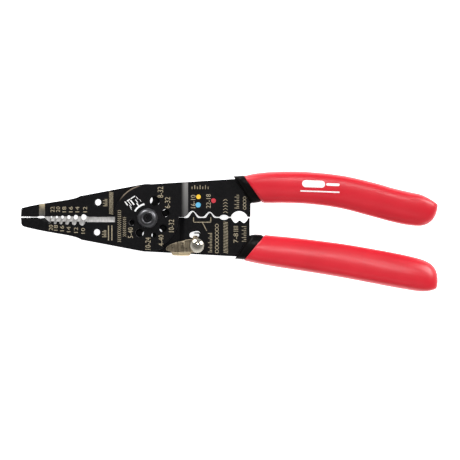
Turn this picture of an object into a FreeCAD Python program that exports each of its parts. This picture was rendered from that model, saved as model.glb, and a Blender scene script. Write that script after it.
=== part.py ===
import FreeCAD, Part
import math
import os
import Sketcher

# Multi-purpose electrician's plier: strips and cuts wire, crimps terminals and
# cuts small screws.  It lies flat on its back: +X runs from the pivot to the
# handles, +Y to the upper jaw, +Z up through the printed front face.  The origin
# is on the pivot axis, level with the underside of the pivot bolt's head.

Vector = FreeCAD.Vector

# ---------------------------------------------------------------- dimensions
DIMENSIONS = {
    # blades
    "mid_height": 6.0,           # middle of the blade pair above the table
    "plate_thick": 3.0,          # sheet that both halves are stamped from
    "lap_gap": 0.1,              # play between the lapped faces
    "parting_line": 0.5,         # Y of the line where the closed halves meet
    "edge_overlap": 0.4,         # how far a cutting edge passes the parting line
    "boss_radius": 16.9,         # round part of each half about the pivot
    "relief_radius": 15.5,       # smaller boss radius that faces the other handle
    "bevel_width": 2.6,          # ground face behind each cutting edge
    "edge_land": 0.15,           # flat left on a cutting edge
    "loop_hole_radius": 1.6,
    # pivot
    "bolt_radius": 2.6,          # shank through both halves
    "bolt_head_radius": 5.2,
    "stud_radius": 2.1,          # threaded end that the nut takes
    "nut_radius": 4.65,
    "nut_height": 1.9,
    "washer_thick": 0.25,
    "key_radius": 1.1,           # hexagonal key socket in the end of the bolt
    "spring_radius": 4.6,        # mean radius of the return spring
    "spring_wire": 0.6,          # radius of its wire
    "pocket_radius": 5.6,
    "pocket_depth": 0.8,
    # latch
    "latch_thick": 1.0,
    "latch_gap": 0.25,           # height of the spring washer under the latch
    "rivet_radius": 1.5,
    "rivet_head_radius": 3.5,
    "rivet_head_height": 1.6,
    "slot_half_width": 1.4,
    "burr_radius": 3.0,
    "burr_thick": 0.8,
    # grips
    "grip_thick": 12.0,
    "grip_round": 4.0,
    "liner_thick": 6.0,          # inner sleeve, measured along Z
    "collar_thick": 9.6,         # its wider end in front of the red grip
}

doc = FreeCAD.newDocument("wire_stripper")
sheet = doc.addObject("Spreadsheet::Sheet", "dimensions")
for row, (alias, number) in enumerate(DIMENSIONS.items(), start=1):
    sheet.set("A%d" % row, alias.replace("_", " "))
    sheet.set("B%d" % row, str(number))
    sheet.setAlias("B%d" % row, alias)
doc.recompute()


def dim(alias):
    """The number in the sheet's cell of that name."""
    return float(sheet.get(alias))


# ---------------------------------------------------------------- sketch tools
def origin_plane(body, role):
    """The body's own origin plane with that role, such as XY_Plane."""
    for feature in body.Origin.OriginFeatures:
        if feature.Role == role:
            return feature
    raise ValueError(role)


def new_sketch(body, name, role="XY_Plane", offset=0.0):
    """A sketch on one of the body's origin planes, moved along its normal."""
    sketch = body.newObject("Sketcher::SketchObject", name)
    sketch.AttachmentSupport = [(origin_plane(body, role), "")]
    sketch.MapMode = "FlatFace"
    sketch.AttachmentOffset = FreeCAD.Placement(Vector(0, 0, offset), FreeCAD.Rotation())
    return sketch


def point(x, y):
    return Vector(x, y, 0)


def polar(radius, degrees):
    """The sketch point at that radius and angle about the pivot."""
    angle = math.radians(degrees)
    return (radius * math.cos(angle), radius * math.sin(angle))


def trace(sketch, start, steps):
    """Draw one closed outline.

    A step is ("line", end), ("arc", middle, end) or ("curve", [points]), where
    a curve is a smooth spline from the last point through the points given.
    """
    here = point(*start)
    for kind, *rest in steps:
        if kind == "line":
            end = point(*rest[0])
            sketch.addGeometry(Part.LineSegment(here, end), False)
        elif kind == "arc":
            end = point(*rest[1])
            sketch.addGeometry(Part.Arc(here, point(*rest[0]), end), False)
        else:
            points = [here] + [point(*p) for p in rest[0]]
            end = points[-1]
            spline = Part.BSplineCurve()
            spline.interpolate(points)
            sketch.addGeometry(spline, False)
        here = end
    first = point(*start)
    if here.distanceToPoint(first) > 1e-6:
        sketch.addGeometry(Part.LineSegment(here, first), False)


def circle(sketch, centre, radius, alias=None):
    """A circle, its radius bound to a cell of the sheet if one is named."""
    index = sketch.addGeometry(Part.Circle(point(*centre), Vector(0, 0, 1), radius), False)
    if alias:
        number = sketch.addConstraint(Sketcher.Constraint("Radius", index, radius))
        sketch.setExpression("Constraints[%d]" % number, "dimensions." + alias)


def rectangle(sketch, low, high):
    trace(sketch, low, [("line", (high[0], low[1])), ("line", high), ("line", (low[0], high[1]))])


def pad(body, sketch, length, symmetric=False, backwards=False):
    """Pad the sketch by a length written as an expression of the sheet."""
    feature = body.newObject("PartDesign::Pad", sketch.Name + "_pad")
    feature.Profile = sketch
    feature.setExpression("Length", length)
    feature.SideType = "Symmetric" if symmetric else "One side"
    feature.Reversed = backwards
    return feature


def pocket_through(body, sketch):
    """Cut the sketch right through the body, both ways."""
    feature = body.newObject("PartDesign::Pocket", sketch.Name + "_pocket")
    feature.Profile = sketch
    feature.Type = "ThroughAll"
    feature.SideType = "Symmetric"
    return feature


# ---------------------------------------------------------------- blade layout
MID = dim("mid_height")
SHEET = dim("plate_thick")
PARTING = dim("parting_line")
JAW_PLAY = 0.15                        # from the parting line to each jaw's flat edge
HANDLE_PLAY = 0.25                     # the same between the handles
HEEL_PLAY = 0.05                       # the same where the handles leave the boss
HANDLE_DROP = 0.1                      # how far their meeting line lies below it
EDGE = dim("edge_overlap")
LOW_BOSS = dim("boss_radius")
HIGH_BOSS = LOW_BOSS + 0.4             # the upper edge stands a little further out
RELIEF_BOSS = dim("relief_radius")
SHOULDER = 62                          # degrees, where the boss radius steps down
HANDLE_SLOPE = 3.3                     # degrees that the handles spread by
JAW_SLOPE = 10.4                       # degrees that the jaws taper by

NOSE_END = -63.9
TEETH_START, TOOTH_PITCH, TOOTH_DEPTH, TOOTH_COUNT = -63.5, 1.1, 0.35, 4
NOSE_RAMP = (-54.7, -51.9)             # where the nose steps to the lapped level
EDGE_START = -51.5
STRIP_END, CUTTER_END = -30.2, -16.4
CUTTER_HOLLOW = 0.28                   # hollow of the wire cutter's edge
HANDLE_RAMP = {1: (16.9, 20.3), -1: (16.1, 18.6)}
PLATE_END = {1: 51.7, -1: 51.3}        # where the bare plates end between the grips
HEEL_END = 18.0                        # where the handles part from their close fit
GRIP_START = 44.3
TANG_END = 132.0
BLANK_WIDTH = 100.0

STRIP_HOLES = ((-48.6, 0.81), (-45.9, 1.02), (-43.0, 1.29), (-39.8, 1.63), (-36.3, 2.05), (-32.3, 2.59))
GROOVE_TILT = 44                       # degrees between a strip groove and upright
GROOVE_SKEW = 10                       # degrees that it leans towards the nose
LOOP_HOLES = {1: (-25.5, -7.1), -1: (-25.2, 8.0)}

# Screw cutter: degrees round the pivot, distance from it and radius of each hole,
# in the front half and in the rear one.  A pair lines up when the tool is opened
# by the difference between its two angles.
SCREW_HOLES = {
    "screw_8_32": ((67.2, 9.3, 2.5), (89.5, 9.3, 2.3)),
    "screw_6_32": ((16.0, 9.4, 1.95), (40.2, 9.4, 2.3)),
    "screw_10_32": ((-33.5, 9.3, 1.95), (-7.6, 9.4, 2.15)),
    "screw_4_40": ((-70.0, 9.15, 1.3), (-50.0, 8.9, 1.35)),
    "screw_10_24": ((-118.5, 8.4, 2.05), (-92.0, 8.5, 2.65)),
    "screw_5_40": ((-164.4, 8.2, 1.4), (-146.0, 8.8, 1.55)),
}

RIVET = (24.9, -13.8)                  # latch pivot
SLOT_REACH = 5.9                       # radius of the latch slot about its pivot
SLOT_ANGLES = (89, 116)                # degrees, where the slot starts and ends


def bell(centre, half_base, base, top, sides=8):
    """Points of a smooth tooth or notch, from right to left, last point included."""
    points = []
    for i in range(1, sides + 1):
        across = math.pi * (i / sides - 0.5)
        x = centre - half_base * (2.0 * i / sides - 1.0)
        points.append((x, base + (top - base) * math.cos(across) ** 2))
    return points


def jaw_edge(side):
    """Steps from the nose tip along one jaw's inner edge to the boss circle.

    side is 1 for the front half, whose jaw is the lower one, and -1 for the rear.
    """
    flat = PARTING - side * JAW_PLAY
    lapped = PARTING + side * EDGE
    steps = []
    for i in range(TOOTH_COUNT):
        left = TEETH_START + i * TOOTH_PITCH
        steps.append(("line", (left + TOOTH_PITCH / 2, flat - side * TOOTH_DEPTH)))
        steps.append(("line", (left + TOOTH_PITCH, flat)))
    steps.append(("line", (-56.0, flat)))
    steps.append(("arc", (-54.4, flat - side * 0.4), (NOSE_RAMP[1], flat - side * 0.05)))
    steps.append(("line", (EDGE_START, lapped)))
    steps.append(("line", (STRIP_END, lapped)))
    middle = (STRIP_END + CUTTER_END) / 2
    steps.append(("arc", (middle, lapped - side * CUTTER_HOLLOW), (CUTTER_END, lapped)))
    return steps


def on_circle(radius, y):
    return math.sqrt(radius ** 2 - y ** 2)


def front_outline(sketch):
    """Lower jaw, boss and upper handle."""
    lapped = PARTING + EDGE
    inner = PARTING + HANDLE_PLAY - HANDLE_DROP
    heel = PARTING + HEEL_PLAY - HANDLE_DROP
    steps = jaw_edge(1)
    steps += [
        ("line", (-on_circle(LOW_BOSS, lapped), lapped)),
        ("arc", polar(LOW_BOSS, 135), polar(LOW_BOSS, 90 + HANDLE_SLOPE)),
        ("line", (GRIP_START, 19.8)),
        ("curve", [(60, 19.9), (79, 19.6), (97, 18.0), (112, 14.8), (126, 10.9)]),
        ("arc", (130.2, 6.4), (126.5, 2.4)),
        ("curve", [(112, 4.8), (97, 8.6), (82, 10.6), (67, 11.2), (57, 10.6)]),
        ("line", (PLATE_END[1], 7.3)),
        ("line", (PLATE_END[1], inner)),
        ("line", (50.2, inner)),
        ("arc", (46.0, 3.6), (41.8, inner)),
        ("line", (40.7, inner)),
        ("arc", (38.4, 1.7), (36.1, inner)),
        ("line", (34.6, inner)),
        ("curve", bell(31.1, 3.5, inner, 3.2)),
        ("line", (26.6, inner)),
        ("curve", bell(22.4, 4.1, inner, 3.7)),
        ("line", (HEEL_END, heel)),
        ("line", (on_circle(RELIEF_BOSS, heel), heel)),
        ("arc", polar(RELIEF_BOSS, -SHOULDER / 2), polar(RELIEF_BOSS, -SHOULDER)),
        ("line", polar(LOW_BOSS, -SHOULDER)),
        ("arc", polar(LOW_BOSS, -80), polar(LOW_BOSS, -90 - JAW_SLOPE)),
        ("line", (-33.2, -10.9)),
        ("curve", [(-35.2, -9.9), (-37.3, -9.25), (-44.3, -7.9), (-54.4, -6.1), (-61.6, -4.5)]),
        ("arc", (-63.1, -3.8), (-63.7, -2.6)),
        ("line", (NOSE_END, PARTING - JAW_PLAY - 0.3)),
    ]
    trace(sketch, (TEETH_START, PARTING - JAW_PLAY), steps)


def rear_outline(sketch):
    """Upper jaw, boss and lower handle."""
    lapped = PARTING - EDGE
    inner = PARTING - HANDLE_PLAY - HANDLE_DROP
    heel = PARTING - HEEL_PLAY - HANDLE_DROP
    steps = jaw_edge(-1)
    steps += [
        ("line", (-on_circle(LOW_BOSS, lapped), lapped)),
        ("arc", polar(LOW_BOSS, -135), polar(LOW_BOSS, -90 - HANDLE_SLOPE)),
        ("line", (GRIP_START, -19.3)),
        ("curve", [(60, -20.3), (79, -23.2), (97, -26.2), (112, -28.9), (127, -31.5)]),
        ("arc", (131.2, -27.6), (126.4, -21.6)),
        ("curve", [(112, -18.7), (97, -16.2), (82, -14.0), (67, -12.4), (57, -11.6)]),
        ("line", (PLATE_END[-1], -8.6)),
        ("line", (PLATE_END[-1], inner)),
        ("line", (50.8, inner)),
        ("curve", [(49.7, -1.4), (48.4, -2.4), (47.3, -1.8), (46.3, -1.1), (45.3, -1.8),
                   (44.2, -2.4), (42.9, -1.4), (41.9, inner)]),
        ("line", (40.7, inner)),
        ("arc", (38.4, -0.9), (36.1, inner)),
        ("line", (33.9, inner)),
        ("curve", bell(31.3, 2.6, inner, 2.7)),
        ("line", (25.6, inner)),
        ("curve", bell(22.75, 2.85, inner, 3.2)),
        ("line", (HEEL_END + 0.6, inner)),
        ("line", (HEEL_END, heel)),
        ("line", (on_circle(RELIEF_BOSS, heel), heel)),
        ("arc", polar(RELIEF_BOSS, SHOULDER / 2), polar(RELIEF_BOSS, SHOULDER)),
        ("line", polar(HIGH_BOSS, SHOULDER)),
        ("arc", polar(HIGH_BOSS, 80), polar(HIGH_BOSS, 90 + JAW_SLOPE)),
        ("line", (-34.2, 11.2)),
        ("curve", [(-36.2, 10.3), (-38.3, 9.75), (-44.3, 8.7), (-54.4, 7.1), (-62.7, 5.3)]),
        ("arc", (-63.45, 5.0), (-63.7, 4.3)),
        ("line", (NOSE_END, PARTING + JAW_PLAY + 0.3)),
    ]
    trace(sketch, (TEETH_START, PARTING + JAW_PLAY), steps)


def joggle(sketch, side):
    """Side view of the stamped sheet: level nose, lapped middle, level handle."""
    low = MID - SHEET / 2
    lap = MID + (dim("lap_gap") / 2 if side > 0 else -dim("lap_gap") / 2 - SHEET)
    under = [
        (NOSE_END - 5, low), (NOSE_RAMP[0], low), (NOSE_RAMP[1], lap),
        (HANDLE_RAMP[side][0], lap), (HANDLE_RAMP[side][1], low), (TANG_END, low),
    ]
    over = [(x, z + SHEET) for x, z in reversed(under)]
    trace(sketch, under[0], [("line", p) for p in under[1:] + over])


def bevel(body, side, name, start, end, hollow):
    """Grind the slope behind the cutting edge from X = end back to X = start."""
    sketch = new_sketch(body, name, "YZ_Plane", end)
    face = MID + side * (dim("lap_gap") / 2 + SHEET)
    land = MID + side * (dim("lap_gap") / 2 + dim("edge_land"))
    edge = PARTING + side * (EDGE - hollow)
    foot = edge - side * dim("bevel_width")
    rise = face - land
    run = foot - edge
    outer = (edge - run * 0.6, land - rise * 0.6)
    upper = (foot + run * 0.3, face + rise * 0.3)
    trace(sketch, outer, [("line", upper), ("line", (outer[0], upper[1]))])
    feature = body.newObject("PartDesign::Pocket", name + "_pocket")
    feature.Profile = sketch
    feature.Length = end - start
    return feature


def strip_groove(body, side, index, x, bore):
    """Half of a strip hole, ground at a slant so that it widens into the bevel."""
    groove = body.newObject("PartDesign::SubtractiveCylinder", "strip_groove_%d" % index)
    groove.Radius = bore / 2
    groove.Height = 3 * SHEET
    tilt = math.radians(GROOVE_TILT)
    skew = math.radians(GROOVE_SKEW)
    axis = Vector(-math.sin(skew) * math.sin(tilt), -side * math.cos(skew) * math.sin(tilt),
                  side * math.cos(tilt))
    widened = (1 / math.cos(tilt) - 1) * bore / 2
    start = Vector(x, PARTING + side * widened, MID) - axis * 0.5
    groove.Placement = FreeCAD.Placement(start, FreeCAD.Rotation(Vector(0, 0, 1), axis))
    return groove


def strip_notches(sketch, side):
    """Upright half of each strip hole, open at the cutting edge."""
    open_y = PARTING + side * (EDGE + 1.0)
    for x, bore in STRIP_HOLES:
        r = bore / 2
        trace(sketch, (x - r, open_y), [
            ("line", (x - r, PARTING)),
            ("arc", (x, PARTING - side * r), (x + r, PARTING)),
            ("line", (x + r, open_y)),
        ])


def arc_slot(sketch, centre, reach, half_width, start, end):
    """A curved slot with round ends about a centre, between two angles."""
    def at(radius, degrees):
        x, y = polar(radius, degrees)
        return (centre[0] + x, centre[1] + y)

    middle = (start + end) / 2
    end_turn = math.degrees(half_width / reach)
    trace(sketch, at(reach - half_width, start), [
        ("arc", at(reach, start - end_turn), at(reach + half_width, start)),
        ("arc", at(reach + half_width, middle), at(reach + half_width, end)),
        ("arc", at(reach, end + end_turn), at(reach - half_width, end)),
        ("arc", at(reach - half_width, middle), at(reach - half_width, start)),
    ])


def make_blade(name, side, outline):
    """One stamped half: joggled sheet, trimmed to its outline, then pierced and ground."""
    body = doc.addObject("PartDesign::Body", name)
    profile = new_sketch(body, name + "_joggle", "XZ_Plane")
    joggle(profile, side)
    blank = pad(body, profile, "%g" % BLANK_WIDTH, symmetric=True)
    doc.recompute()
    full = blank.Shape.Volume

    trim = new_sketch(body, name + "_trim")
    rectangle(trim, (NOSE_END - 10, -BLANK_WIDTH), (TANG_END + 10, BLANK_WIDTH))
    outline(trim)
    trimmed = pocket_through(body, trim)
    doc.recompute()
    assert trimmed.Shape.Volume < full / 2, "outline of " + name

    holes = new_sketch(body, name + "_holes")
    circle(holes, (0, 0), dim("bolt_radius"), "bolt_radius")
    circle(holes, LOOP_HOLES[side], dim("loop_hole_radius"), "loop_hole_radius")
    for front_hole, rear_hole in SCREW_HOLES.values():
        angle, reach, radius = front_hole if side > 0 else rear_hole
        circle(holes, polar(reach, angle), radius)
    if side < 0:
        circle(holes, RIVET, dim("rivet_radius"), "rivet_radius")
        arc_slot(holes, RIVET, SLOT_REACH, dim("slot_half_width"), *SLOT_ANGLES)
    strip_notches(holes, side)
    pocket_through(body, holes)

    bevel(body, side, name + "_strip_bevel", -54.0, STRIP_END, 0.0)
    bevel(body, side, name + "_cutter_bevel", STRIP_END, CUTTER_END, CUTTER_HOLLOW)
    for index, (x, bore) in enumerate(STRIP_HOLES):
        strip_groove(body, side, index, x, bore)
    doc.recompute()
    ground = body.Shape.Volume
    assert ground < trimmed.Shape.Volume - 60, "holes and bevels of " + name

    # recess in the lapped face for the return spring
    recess = new_sketch(body, name + "_recess", "XY_Plane", MID)
    circle(recess, (0, 0), dim("pocket_radius"), "pocket_radius")
    cut = body.newObject("PartDesign::Pocket", name + "_recess_pocket")
    cut.Profile = recess
    cut.setExpression("Length", "dimensions.pocket_depth + dimensions.lap_gap / 2")
    cut.Reversed = side > 0
    doc.recompute()
    assert body.Shape.Volume < ground - 20, "recess of " + name
    return body


front_blade = make_blade("front_blade", 1, front_outline)
rear_blade = make_blade("rear_blade", -1, rear_outline)


# ---------------------------------------------------------------- pivot
LAP_TOP = MID + dim("lap_gap") / 2 + SHEET         # front face at the pivot
LAP_BOTTOM = MID - dim("lap_gap") / 2 - SHEET      # back face at the pivot
HEAD_CHAMFER = 0.5


def turned(name, profile):
    """A round piece about the pivot axis, from its half section (radius, height)."""
    body = doc.addObject("PartDesign::Body", name)
    sketch = new_sketch(body, name + "_section", "XZ_Plane")
    trace(sketch, profile[0], [("line", p) for p in profile[1:]])
    feature = body.newObject("PartDesign::Revolution", name + "_turned")
    feature.Profile = sketch
    feature.ReferenceAxis = (sketch, ["V_Axis"])
    feature.Angle = 360
    doc.recompute()
    return body


washer_top = LAP_TOP + dim("washer_thick")
nut_top = washer_top + dim("nut_height")
stud_top = nut_top - 0.25
shank = dim("bolt_radius") - 0.05
head = dim("bolt_head_radius")
pivot_bolt = turned("pivot_bolt", [
    (0, 0), (head - HEAD_CHAMFER, 0), (head, HEAD_CHAMFER), (head, LAP_BOTTOM),
    (shank, LAP_BOTTOM), (shank, LAP_TOP), (dim("stud_radius"), LAP_TOP),
    (dim("stud_radius"), stud_top - 0.3), (dim("stud_radius") - 0.3, stud_top), (0, stud_top),
])
socket = new_sketch(pivot_bolt, "key_socket", "XY_Plane", stud_top)
hexagon = [polar(dim("key_radius"), 60 * i) for i in range(6)]
trace(socket, hexagon[0], [("line", p) for p in hexagon[1:]])
socket_pocket = pivot_bolt.newObject("PartDesign::Pocket", "key_socket_pocket")
socket_pocket.Profile = socket
socket_pocket.Length = 1.4
doc.recompute()

stud = dim("stud_radius")
nut = dim("nut_radius")
pivot_nut = turned("pivot_nut", [
    (stud, washer_top), (nut, washer_top), (nut, washer_top + 0.6), (nut - 0.5, nut_top - 0.15),
    (nut - 0.9, nut_top), (stud + 1.0, nut_top - 0.25), (stud + 0.5, nut_top - 0.7),
    (stud, nut_top - 0.7),
])
pivot_washer = turned("pivot_washer", [
    (stud, LAP_TOP), (nut + 0.35, LAP_TOP), (nut + 0.35, washer_top), (stud, washer_top),
])

# Return spring: one open turn of wire in the recess, one end bent up and one down
SPRING_TURN = 300                      # degrees of the ring
SPRING_LEG = 142                       # degrees to each side where an end is bent
return_spring = doc.addObject("PartDesign::Body", "return_spring")
wire_section = new_sketch(return_spring, "spring_section", "XZ_Plane")
circle(wire_section, (dim("spring_radius"), MID), dim("spring_wire"), "spring_wire")
spring_ring = return_spring.newObject("PartDesign::Revolution", "spring_ring")
spring_ring.Profile = wire_section
spring_ring.ReferenceAxis = (wire_section, ["V_Axis"])
spring_ring.Angle = SPRING_TURN
spring_ring.Midplane = True
doc.recompute()
for name, angle, down in (("rear_leg", SPRING_LEG, True), ("front_leg", -SPRING_LEG, False)):
    leg = new_sketch(return_spring, name, "XY_Plane", MID)
    circle(leg, polar(dim("spring_radius"), angle), dim("spring_wire") * 0.8)
    pad(return_spring, leg, "dimensions.pocket_depth - 0.02", backwards=down)
doc.recompute()


# ---------------------------------------------------------------- latch
LATCH_FLOOR = MID + SHEET / 2 + dim("latch_gap")
LATCH_TIP = 9.75                                   # X of the lever's nose
TAB_BOTTOM = -19.0


def near_rivet(dx, dy):
    return (RIVET[0] + dx, RIVET[1] + dy)


latch_lever = doc.addObject("PartDesign::Body", "latch_lever")
lever_outline = new_sketch(latch_lever, "lever_outline", "XY_Plane", LATCH_FLOOR)
trace(lever_outline, (LATCH_TIP + 0.6, -14.2), [
    ("line", (12.6, -13.0)),
    ("line", (21.0, -10.6)),
    ("curve", [(22.3, -9.9), (23.2, -8.9), (24.2, -8.0)]),
    ("arc", (25.3, -7.2), (26.3, -8.1)),
    ("line", (26.5, -10.4)),
    ("arc", near_rivet(3.5, 0.6), near_rivet(1.6, -3.4)),
    ("line", (21.3, -17.6)),
    ("line", (20.8, TAB_BOTTOM + 0.2)),
    ("line", (13.2, TAB_BOTTOM)),
    ("line", (12.0, -17.9)),
    ("line", (LATCH_TIP + 0.9, -16.5)),
    ("line", (LATCH_TIP, -15.9)),
])
pad(latch_lever, lever_outline, "dimensions.latch_thick")
doc.recompute()

# thumb tab: the lower edge is curled up, with grip ridges across it
tab = new_sketch(latch_lever, "thumb_tab", "XY_Plane", LATCH_FLOOR)
rectangle(tab, (13.4, TAB_BOTTOM), (20.6, TAB_BOTTOM + 1.1))
pad(latch_lever, tab, "dimensions.latch_thick * 2.6")
RIDGES = 5
ridges = new_sketch(latch_lever, "thumb_ridges", "XY_Plane", LATCH_FLOOR)
for i in range(RIDGES):
    left = 13.8 + i * 1.4
    rectangle(ridges, (left, TAB_BOTTOM + 0.6), (left + 0.7, TAB_BOTTOM + 2.0))
pad(latch_lever, ridges, "dimensions.latch_thick * 1.5")
doc.recompute()

# finger bent down through the slot in the handle
finger = new_sketch(latch_lever, "slot_finger", "XY_Plane", LATCH_FLOOR)
finger_x, finger_y = polar(SLOT_REACH, SLOT_ANGLES[0] + 2)
circle(finger, near_rivet(finger_x, finger_y), dim("slot_half_width") - 0.35)
pad(latch_lever, finger, "dimensions.plate_thick + dimensions.latch_gap - 0.2", backwards=True)
bore = new_sketch(latch_lever, "lever_bore")
circle(bore, RIVET, dim("rivet_radius"), "rivet_radius")
pocket_through(latch_lever, bore)
doc.recompute()


def at_rivet(body):
    body.Placement = FreeCAD.Placement(Vector(RIVET[0], RIVET[1], 0), FreeCAD.Rotation())


post = dim("rivet_radius") - 0.03
dome = dim("rivet_head_radius")
burr = dim("burr_radius")
lever_top = LATCH_FLOOR + dim("latch_thick")
handle_bottom = MID - SHEET / 2
burr_bottom = handle_bottom - dim("burr_thick")
latch_rivet = turned("latch_rivet", [
    (0, burr_bottom - 0.6), (post + 0.5, burr_bottom - 0.4), (post + 0.8, burr_bottom),
    (post, burr_bottom), (post, lever_top), (dome, lever_top), (dome, lever_top + 0.3),
    (dome * 0.8, lever_top + dim("rivet_head_height") * 0.75),
    (dome * 0.4, lever_top + dim("rivet_head_height")), (0, lever_top + dim("rivet_head_height")),
])
at_rivet(latch_rivet)
latch_spring_washer = turned("latch_spring_washer", [
    (post, MID + SHEET / 2), (burr, MID + SHEET / 2), (burr, LATCH_FLOOR), (post, LATCH_FLOOR),
])
at_rivet(latch_spring_washer)
latch_rivet_burr = turned("latch_rivet_burr", [
    (post, burr_bottom), (burr - 0.2, burr_bottom), (burr, burr_bottom + 0.2),
    (burr, handle_bottom), (post, handle_bottom),
])
at_rivet(latch_rivet_burr)


# ---------------------------------------------------------------- grips
# Sections across each red grip: X, lower edge, upper edge, share of full thickness
UPPER_GRIP = (
    (47, 6.1, 21.7, 0.95), (58, 7.5, 23.0, 1), (68, 7.7, 23.5, 1), (82, 7.1, 23.1, 1),
    (97, 5.0, 21.5, 1), (112, 1.1, 18.4, 1), (127, -2.7, 14.4, 1), (136, -4.0, 12.1, 0.95),
    (142, -2.3, 9.9, 0.85), (145, 0.7, 8.3, 0.65), (146.2, 3.2, 7.2, 0.4),
)
LOWER_GRIP = (
    (47, -21.3, -7.8, 0.95), (59, -23.5, -8.6, 1), (79, -26.8, -10.4, 1), (97, -29.7, -12.8, 1),
    (112, -32.5, -15.2, 1), (127, -35.3, -17.8, 1), (137, -37.0, -20.0, 0.95),
    (142.7, -36.9, -23.0, 0.85), (145.2, -35.4, -26.1, 0.65), (146.2, -33.4, -29.2, 0.4),
)
# Slanting line where each red grip starts, from below it to above it
UPPER_CUT = ((61.4, 3.0), (47.1, 24.4))
LOWER_CUT = ((46.4, -25.0), (61.5, -6.0))

# Outlines of the black sleeves and of the collar bands at their front ends
UPPER_LINER = ((52.4, 7.0), [
    ("curve", [(57, 8.9), (67, 9.6), (82, 9.0), (97, 7.0), (112, 3.2), (126.3, 0.8)]),
    ("arc", (131.8, 6.4), (126.4, 12.4)),
    ("curve", [(112, 16.3), (97, 19.5), (79, 21.1), (60, 21.2), (47.5, 20.9)]),
])
LOWER_LINER = ((47.0, -20.8), [
    ("curve", [(60, -21.8), (79, -24.8), (97, -27.8), (112, -30.5), (127, -33.1)]),
    ("arc", (132.8, -27.6), (126.6, -20.1)),
    ("curve", [(112, -17.2), (97, -14.7), (82, -12.5), (67, -11.0), (54, -9.4)]),
])
UPPER_COLLAR = ((52.3, 6.4), (44.4, 19.9))     # inner end, outer end
LOWER_COLLAR = ((52.9, -7.8), (44.2, -20.3))
COLLAR_CORNER = 1.3                    # chamfer on the collar's outer front corner
COLLAR_EDGES = {"upper": (7.9, 21.3), "lower": (-21.4, -8.7)}


def section(body, name, x, low, high, share):
    """A rounded rectangle across the grip at X = x."""
    sketch = new_sketch(body, name, "YZ_Plane", x)
    half = dim("grip_thick") * share / 2
    r = min(dim("grip_round"), half * 0.9, (high - low) * 0.45)
    nip = r * (1 - math.sqrt(0.5))
    top, bottom = MID + half, MID - half
    trace(sketch, (low + r, bottom), [
        ("line", (high - r, bottom)),
        ("arc", (high - nip, bottom + nip), (high, bottom + r)),
        ("line", (high, top - r)),
        ("arc", (high - nip, top - nip), (high - r, top)),
        ("line", (low + r, top)),
        ("arc", (low + nip, top - nip), (low, top - r)),
        ("line", (low, bottom + r)),
        ("arc", (low + nip, bottom + nip), (low + r, bottom)),
    ])
    return sketch


def on_line(line, y):
    """The point of a slanting line at that height."""
    (x0, y0), (x1, y1) = line
    return (x0 + (x1 - x0) * (y - y0) / (y1 - y0), y)


def collar_outline(front, cut, edges):
    """The band between its own front edge and the line where the red grip starts."""
    low, high = edges
    inner_end, outer_end = front
    outer_y = high if outer_end[1] > inner_end[1] else low
    inner_y = low + high - outer_y
    corner = (outer_end[0] + COLLAR_CORNER, outer_y)
    return [inner_end, on_line(cut, inner_y), on_line(cut, outer_y), corner, outer_end]


def make_handle(name, liner, collar, grip, cut, blade):
    """Black inner sleeve with its collar, then the red grip over it."""
    sleeve = doc.addObject("PartDesign::Body", name + "_sleeve")
    inside = new_sketch(sleeve, name + "_sleeve_outline", "XY_Plane", MID)
    trace(inside, *liner)
    pad(sleeve, inside, "dimensions.liner_thick", symmetric=True)
    band = new_sketch(sleeve, name + "_collar", "XY_Plane", MID)
    corners = collar_outline(collar, cut, COLLAR_EDGES[name])
    trace(band, corners[0], [("line", p) for p in corners[1:]])
    pad(sleeve, band, "dimensions.collar_thick", symmetric=True)

    block = doc.addObject("PartDesign::Body", name + "_block")
    sections = [section(block, "%s_section_%d" % (name, i), *row) for i, row in enumerate(grip)]
    loft = block.newObject("PartDesign::AdditiveLoft", name + "_loft")
    loft.Profile = sections[0]
    loft.Sections = sections[1:]
    loft.Ruled = True
    doc.recompute()
    whole = block.Shape.Volume
    end = new_sketch(block, name + "_front_cut")
    front_x = grip[0][0] - 1
    trace(end, (front_x, cut[0][1]), [("line", cut[0]), ("line", cut[1]), ("line", (front_x, cut[1][1]))])
    pocket_through(block, end)
    doc.recompute()
    assert block.Shape.Volume < whole - 100, "front cut of " + name

    inner = doc.addObject("Part::Cut", name + "_grip_liner")
    inner.Base = sleeve
    inner.Tool = blade
    outer = doc.addObject("Part::Cut", name + "_grip")
    outer.Base = block
    outer.Tool = sleeve
    doc.recompute()
    return inner, outer


upper_grip_liner, upper_grip = make_handle(
    "upper", UPPER_LINER, UPPER_COLLAR, UPPER_GRIP, UPPER_CUT, front_blade)
lower_grip_liner, lower_grip = make_handle(
    "lower", LOWER_LINER, LOWER_COLLAR, LOWER_GRIP, LOWER_CUT, rear_blade)


# ---------------------------------------------------------------- checks and files
NODES = [
    front_blade, rear_blade, pivot_bolt, pivot_nut, pivot_washer, return_spring,
    latch_lever, latch_rivet, latch_spring_washer, latch_rivet_burr,
    upper_grip_liner, upper_grip, lower_grip_liner, lower_grip,
]

doc.recompute()
for item in doc.Objects:
    if {"Invalid", "Error"} & set(item.State):
        raise RuntimeError("%s failed: %s" % (item.Name, item.State))
os.makedirs("parts", exist_ok=True)
for node in NODES:
    node.Label = node.Name
    if node.Shape.isNull() or not node.Shape.isValid():
        raise RuntimeError("bad shape: " + node.Label)
    node.Shape.exportStep("parts/" + node.Label + ".step")
    print(node.Label, len(node.Shape.Solids), "solid", round(node.Shape.Volume), "mm3")
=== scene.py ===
import math

import bpy
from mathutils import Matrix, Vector
from mathutils.bvhtree import BVHTree


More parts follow.
